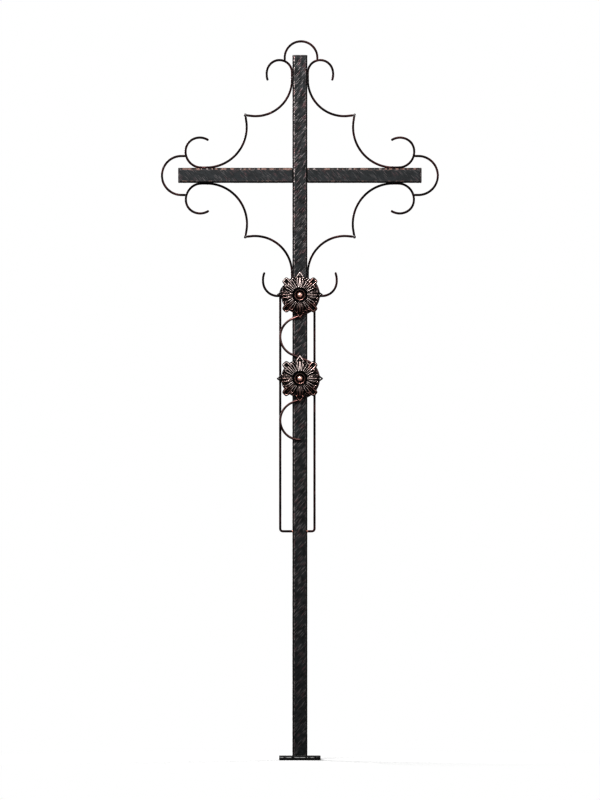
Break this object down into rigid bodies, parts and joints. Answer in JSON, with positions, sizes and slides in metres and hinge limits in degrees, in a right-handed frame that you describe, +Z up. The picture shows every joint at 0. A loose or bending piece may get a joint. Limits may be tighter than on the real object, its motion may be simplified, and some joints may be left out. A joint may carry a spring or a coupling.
{
  "type": "wrought iron grave cross",
  "caption": "Tall slim grave cross of hammered square tube with forged scrolls behind its arms, side frame rods, a wave rod and cast rosettes on the post, on a bolt-down foot plate.",
  "frame": {"origin": "middle of the foot plate's underside, where the cross is bolted down", "axes": "+Z up the post, +X to the right arm as seen from the front, the front with the rosettes faces -Y"},
  "size_m": [0.742, 0.11, 1.9189],
  "materials": {
    "hammered_black": "black wrought iron, hammered in slanting strokes whose edges are rubbed light grey and copper",
    "plate_black": "black iron plate, flat, with a pale line of weld under the post",
    "forged_rod": "black round bar with a dark red-brown copper patina",
    "weld_bead": "small black weld bead with a grey shine",
    "wave_copper": "black round bar rubbed with copper along its front",
    "antique_copper": "black casting with its ribs rubbed to bright pink copper",
    "burnished_copper": "bright burnished copper rivet head"
  },
  "bodies": {
    "root": {"post_tube": "hammered_black", "post_cap": "hammered_black", "arm_tube_left": "hammered_black", "arm_tube_right": "hammered_black", "arm_cap_left": "hammered_black", "arm_cap_right": "hammered_black", "foot_plate": "plate_black", "scroll_top_left": "forged_rod", "scroll_top_right": "forged_rod", "scroll_bottom_left": "forged_rod", "scroll_bottom_right": "forged_rod", "scroll_left_upper": "forged_rod", "scroll_left_lower": "forged_rod", "scroll_right_upper": "forged_rod", "scroll_right_lower": "forged_rod", "knee_bead_upper_left": "weld_bead", "knee_bead_upper_right": "weld_bead", "knee_bead_lower_left": "weld_bead", "knee_bead_lower_right": "weld_bead", "end_arc_top": "forged_rod", "end_arc_left": "forged_rod", "end_arc_right": "forged_rod", "frame_rod_left": "forged_rod", "frame_rod_right": "forged_rod", "wave_rod": "wave_copper", "rosette_upper": "antique_copper", "rosette_lower": "antique_copper", "rosette_rivet_upper": "burnished_copper", "rosette_rivet_lower": "burnished_copper"}
  },
  "joints": []
}
